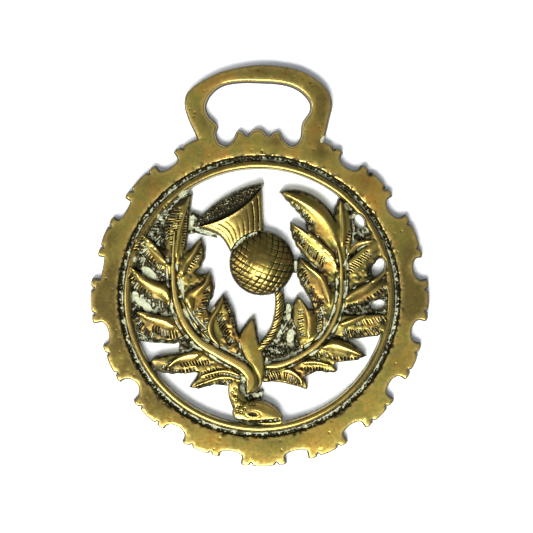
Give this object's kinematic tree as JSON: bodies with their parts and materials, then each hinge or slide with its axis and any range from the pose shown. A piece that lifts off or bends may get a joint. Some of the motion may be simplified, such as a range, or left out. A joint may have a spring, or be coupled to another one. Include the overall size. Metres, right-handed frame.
{
  "type": "horse brass",
  "caption": "Round pierced brass harness medallion with a scalloped rim, a thistle between lobed leaves, and a strap hanger on top.",
  "frame": {"origin": "on the flat back, under the middle of the outline's box", "axes": "+Z out of the face, +Y towards the hanger, +X to the right of the face; it lies on its back"},
  "size_m": [0.076, 0.0902, 0.0061],
  "materials": {
    "brass": "aged cast brass, polished on the high parts, dark and pale residue in the recesses"
  },
  "bodies": {
    "root": {"horse_brass": "brass"}
  },
  "joints": []
}
